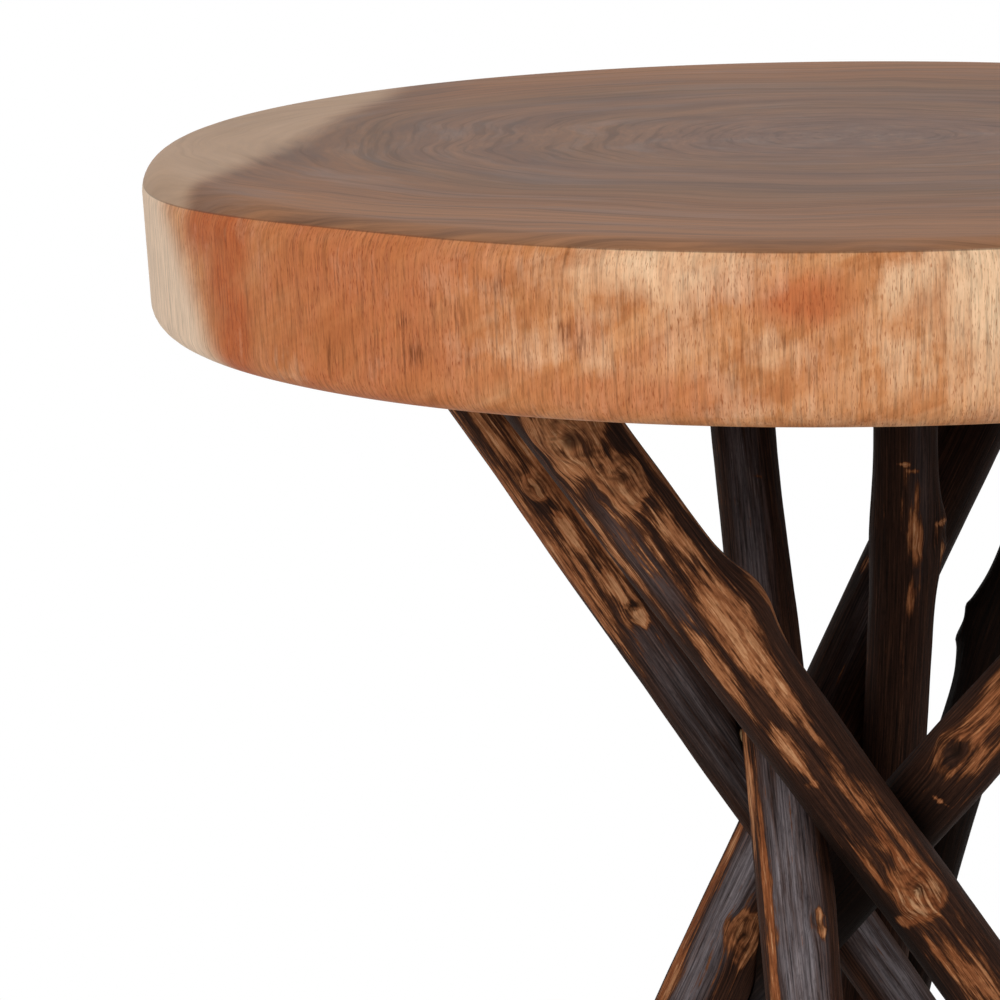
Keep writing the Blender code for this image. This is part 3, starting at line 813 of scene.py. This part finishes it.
# %% Shape one stick
def shape_stick(name, seed):
    """Branch with its knots, ridges and stored marks, scribed to the sticks before it."""
    bm = bmesh.new()
    bmesh.ops.create_cone(bm, cap_ends=False, segments=AROUND, radius1=1.0, radius2=1.0, depth=1.0)
    upright_edges = [edge for edge in bm.edges if abs(edge.verts[0].co.z - edge.verts[1].co.z) > 0.5]
    bmesh.ops.subdivide_edges(bm, edges=upright_edges, cuts=RINGS, use_grid_fill=True)

    unit = np.array([vert.co for vert in bm.verts])
    angle = np.arctan2(unit[:, 1], unit[:, 0])
    height = -OVERRUN + (unit[:, 2] + 0.5) * (SLAB_UNDER + 2.0 * OVERRUN)
    tangent = middle_line(name, height + 0.001) - middle_line(name, height - 0.001)
    tangent /= np.linalg.norm(tangent, axis=1)[:, None]
    lean = tangent[:, 2]
    side = np.array([1.0, 0.0, 0.0]) - tangent * tangent[:, :1]
    side /= np.linalg.norm(side, axis=1)[:, None]
    spokes = side * np.cos(angle)[:, None] + np.cross(tangent, side) * np.sin(angle)[:, None]

    base = plain_radius(name, height)
    turned, relief, core, halo = knotted_grain(name, height, angle, base, lean)
    lane_radius = float(base.mean())
    grain = np.stack([lane_radius * np.cos(turned), lane_radius * np.sin(turned), height / lean], axis=1)
    bare_and_highlight, ash_and_sheen, amber, soot_and_shade = (
        mark_strength(kind[name], height, angle, base, lean) for kind in (BARE_AND_EDGE_HIGHLIGHT, ASH_AND_SHEEN, AMBER, SOOT_AND_SHADE))
    radius = base + relief - RUB_DEPTH * np.clip(bare_and_highlight * 1.6 - 0.4, 0.0, 1.0)
    for rise, cell, step in UNEVENNESS:
        radius += rise * noise_field(grain, cell, seed + step)
    points = scribe(middle_line(name, height) + spokes * radius[:, None], name)

    store_values(bm, {
        "grain_at": grain,
        "rubbing_ash_and_sheen": np.stack([bare_and_highlight, ash_and_sheen, amber], axis=1),
        "soot_and_shade": np.stack([soot_and_shade, core, halo], axis=1),
    })
    for vert, point in zip(bm.verts, points):
        vert.co = point
    for level, facing in ((TOP_CUT, 1.0), (FOOT_CUT, -1.0)):
        everything = bm.verts[:] + bm.edges[:] + bm.faces[:]
        bmesh.ops.bisect_plane(
            bm, geom=everything, plane_co=(0.0, 0.0, level), plane_no=(0.0, 0.0, facing), clear_outer=True)
        sawn = [edge for edge in bm.edges if edge.is_boundary and abs(edge.verts[0].co.z - level) < 1e-5]
        bmesh.ops.holes_fill(bm, edges=sawn, sides=0)
    bmesh.ops.recalc_face_normals(bm, faces=bm.faces[:])
    return bm


print("stick heights:", round(FOOT_CUT, 4), "to", round(TOP_CUT, 4))

# %% [markdown]
# ## Charred skin
#
# The sticks are peeled branches that were scorched nearly black and then brushed, which leaves a dull
# dark skin with fine lengthwise fibres. The fibres are about 0.7 mm wide and 29 mm long, the broader
# streaks 2.3 mm wide and 38 mm long, the blotches 1.7 mm wide and 12 mm long, and small pits of 1 mm by
# 3 mm break them up. The list below holds these sizes, twice across and once along the stick, then the
# detail, roughness and distortion of the noise.

# %% Stick material, skin
STICK_GRAIN = {
    "fibre": ((0.66667, 0.66667, 29.412), 6.0, 0.72, 0.1),
    "broad": ((2.3256, 2.3256, 38.462), 5.0, 0.64, 0.1),
    "blotch": ((1.6667, 1.6667, 12.5), 4.0, 0.68, 0.0),
    "pit": ((1.1111, 1.1111, 3.3333), 2.0, 0.60, 0.0),
}
stick_look, tree = new_tree("charred_and_rubbed_branch_wood", bpy.data.materials)
lane = put(tree, "Attribute", attribute_name="grain_at")["Vector"]
rubbing_ash_and_sheen = put(tree, "Attribute", attribute_name="rubbing_ash_and_sheen")["Vector"]
bare_and_highlight, ash_and_sheen, amber = put(tree, "SeparateXYZ", {0: rubbing_ash_and_sheen})
soot_and_shade, core, halo = put(tree, "SeparateXYZ", {0: put(tree, "Attribute", attribute_name="soot_and_shade")["Vector"]})

patterns = []
for size_mm, detail, roughness, distortion in STICK_GRAIN.values():
    per_metre = [1000.0 / size for size in size_mm]
    cells = put(tree, "VectorMath", {0: lane, 1: per_metre}, operation="MULTIPLY")[0]
    patterns.append(put(tree, "TexNoise", {
        "Vector": cells, "Scale": 1.0, "Detail": detail, "Roughness": roughness,
        "Distortion": distortion})["Fac"])
fibre, broad, blotch, pit = patterns

skin = put(tree, "ValToRGB", {"Fac": fibre}, (
    (0.30, "#0B0604"), (0.44, "#271812"), (0.58, "#40281D"), (0.76, "#664634")))["Color"]
# The grey bloom is partly ash and partly a painted sheen on the lit char.
ash_and_sheen_grey = put(tree, "ValToRGB", {"Fac": fibre}, (
    (0.30, "#2E2A2B"), (0.48, "#6E676A"), (0.72, "#A49C9F")))["Color"]
patchy = put(tree, "MapRange", {"Value": broad, "From Min": 0.30, "From Max": 0.60})["Result"]
ash_and_sheen_share = put(tree, "Math", {0: ash_and_sheen, 1: patchy}, operation="MULTIPLY")[0]
skin = put(tree, "Mix", {0: ash_and_sheen_share, 6: skin, 7: ash_and_sheen_grey}, data_type="RGBA")[2]
# Painted shade and soot: the soot marks mix the skin toward near black.
black = put(tree, "Math", {0: soot_and_shade, 1: 0.92}, operation="MULTIPLY")[0]
skin = put(tree, "Mix", {0: black, 6: skin, 7: "#040302"}, data_type="RGBA")[2]
print("nodes for the skin:", len(tree.nodes))

# %% [markdown]
# ## Rubbed wood
#
# Where the skin was rubbed off, warm brown wood with darker grain lines shows. The border of such a
# patch breaks up along the fibres and passes through a deep brown. Amber places turn the wood a deeper
# red-brown, a knot has a dark heart and a rubbed collar, and the most rubbed spots are palest. How worn
# a point is, is a sum of its marks and of the patterns, each with its own share; the rubbed marks also
# hold a painted highlight along one stick's lower edge, and the soot marks, partly painted shade, lower
# the sum.

# %% Stick material, rubbed wood
WEAR_AND_HIGHLIGHT = ((broad, 2.0), (fibre, 0.9), (blotch, 1.1), (amber, 0.22), (halo, 0.45), (soot_and_shade, -0.30))
wear_and_highlight = bare_and_highlight
for value, share in WEAR_AND_HIGHLIGHT:
    wear_and_highlight = put(tree, "Math", {0: value, 1: share, 2: wear_and_highlight}, operation="MULTIPLY_ADD")[0]
brown = put(tree, "MapRange", {"Value": wear_and_highlight, "From Min": 2.26, "From Max": 2.50})["Result"]
clean = put(tree, "MapRange", {"Value": wear_and_highlight, "From Min": 2.48, "From Max": 2.74})["Result"]
grain = put(tree, "Mix", {0: 0.45, 2: fibre, 3: blotch})[0]
deep = put(tree, "ValToRGB", {"Fac": grain}, ((0.32, "#2E1A10"), (0.68, "#6F4227")))["Color"]
wood = put(tree, "ValToRGB", {"Fac": grain}, (
    (0.33, "#3C2114"), (0.43, "#7C4B2E"), (0.54, "#A8704A"), (0.68, "#CC9A70")))["Color"]
ember = put(tree, "ValToRGB", {"Fac": grain}, (
    (0.33, "#31170C"), (0.43, "#66371E"), (0.54, "#8E5331"), (0.68, "#B67D50")))["Color"]
wood = put(tree, "Mix", {0: amber, 6: wood, 7: ember}, data_type="RGBA")[2]
colour = put(tree, "Mix", {0: brown, 6: skin, 7: deep}, data_type="RGBA")[2]
colour = put(tree, "Mix", {0: clean, 6: colour, 7: wood}, data_type="RGBA")[2]
heart = put(tree, "Math", {0: core, 1: 0.85}, operation="MULTIPLY")[0]
colour = put(tree, "Mix", {0: heart, 6: colour, 7: "#1B100A"}, data_type="RGBA")[2]
fresh = put(tree, "MapRange", {"Value": wear_and_highlight, "From Min": 3.02, "From Max": 3.20, "To Max": 0.50})["Result"]
palest = put(tree, "ValToRGB", {"Fac": grain}, (
    (0.36, "#8A5636"), (0.48, "#BF8A60"), (0.62, "#D8AA80")))["Color"]
colour = put(tree, "Mix", {0: fresh, 6: colour, 7: palest}, data_type="RGBA")[2]
pitted = put(tree, "ValToRGB", {"Fac": pit}, ((0.30, 0.55), (0.45, 1.0)))["Color"]
colour = put(tree, "Mix", {0: 0.6, 6: colour, 7: pitted}, data_type="RGBA", blend_type="MULTIPLY")[2]
print("nodes with the rubbed wood:", len(tree.nodes))

# %% [markdown]
# ## Stick finish
#
# Char and bare wood are both dull: hardly any gloss, and rougher where a fibre stands up. The fibres and
# pits also tilt the light a little. The shapes come from the mesh, so the bump is slight. Then each
# stick is shaped and takes the place of its packed one.

# %% Stick material, finish
rough = put(tree, "MapRange", {"Value": fibre, "To Min": 0.58, "To Max": 0.85})["Result"]
height = put(tree, "Math", {0: pit, 1: 0.6, 2: fibre}, operation="MULTIPLY_ADD")[0]
bump = put(tree, "Bump", {"Height": height, "Strength": 0.6, "Distance": 0.0006})["Normal"]
brushed = put(tree, "BsdfPrincipled", {
    "Base Color": colour, "Roughness": rough, "Normal": bump,
    "IOR": 1.45, "Specular IOR Level": 0.05})["BSDF"]
put(tree, "OutputMaterial", {"Surface": brushed})

for seed, name in enumerate(STICKS):
    stick = finish_piece("branch_" + name, shape_stick(name, seed), stick_look, math.radians(60))
    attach(stick, "root")
    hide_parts("stick_" + name)
    print(name, "stick faces:", len(stick.data.polygons))

# %% [markdown]
# ## Screws, dowels and glides
#
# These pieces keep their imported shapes: steel screws up into the slab, beech dowels inside the
# crossings and moulded glides under the feet. Only the glides show, and only from low down, but each
# still gets the finish of its real material: two colours with a mottle of a real size in millimetres,
# a roughness and how metallic it is.

# %% Small parts
SMALL_PARTS = {
    "top_screw": ("zinc_plated_steel", "#9A9A9C", "#C4C4C6", 2.0, 0.35, 1.0),
    "dowel": ("raw_beech", "#B58E62", "#CDA679", 1.0, 0.60, 0.0),
    "glide": ("moulded_black_nylon", "#161616", "#222222", 0.6, 0.50, 0.0),
}
for start, (label, dark, light, grain_mm, roughness, metallic) in SMALL_PARTS.items():
    made, tree = new_tree(label, bpy.data.materials)
    spot = put(tree, "TexCoord")["Object"]
    mottle = put(tree, "TexNoise", {"Vector": spot, "Scale": 1000.0 / grain_mm, "Detail": 2.0})["Fac"]
    colour = put(tree, "ValToRGB", {"Fac": mottle}, ((0.35, dark), (0.65, light)))["Color"]
    bump = put(tree, "Bump", {"Height": mottle, "Strength": 0.2, "Distance": 0.0002})["Normal"]
    shader = put(tree, "BsdfPrincipled", {
        "Base Color": colour, "Roughness": roughness, "Metallic": metallic, "Normal": bump})["BSDF"]
    put(tree, "OutputMaterial", {"Surface": shader})
    for node_name, node in nodes.items():
        if node_name.startswith(start):
            for material_slot in node.material_slots:
                material_slot.material = made
print("small finishes:", ", ".join(SMALL_PARTS))
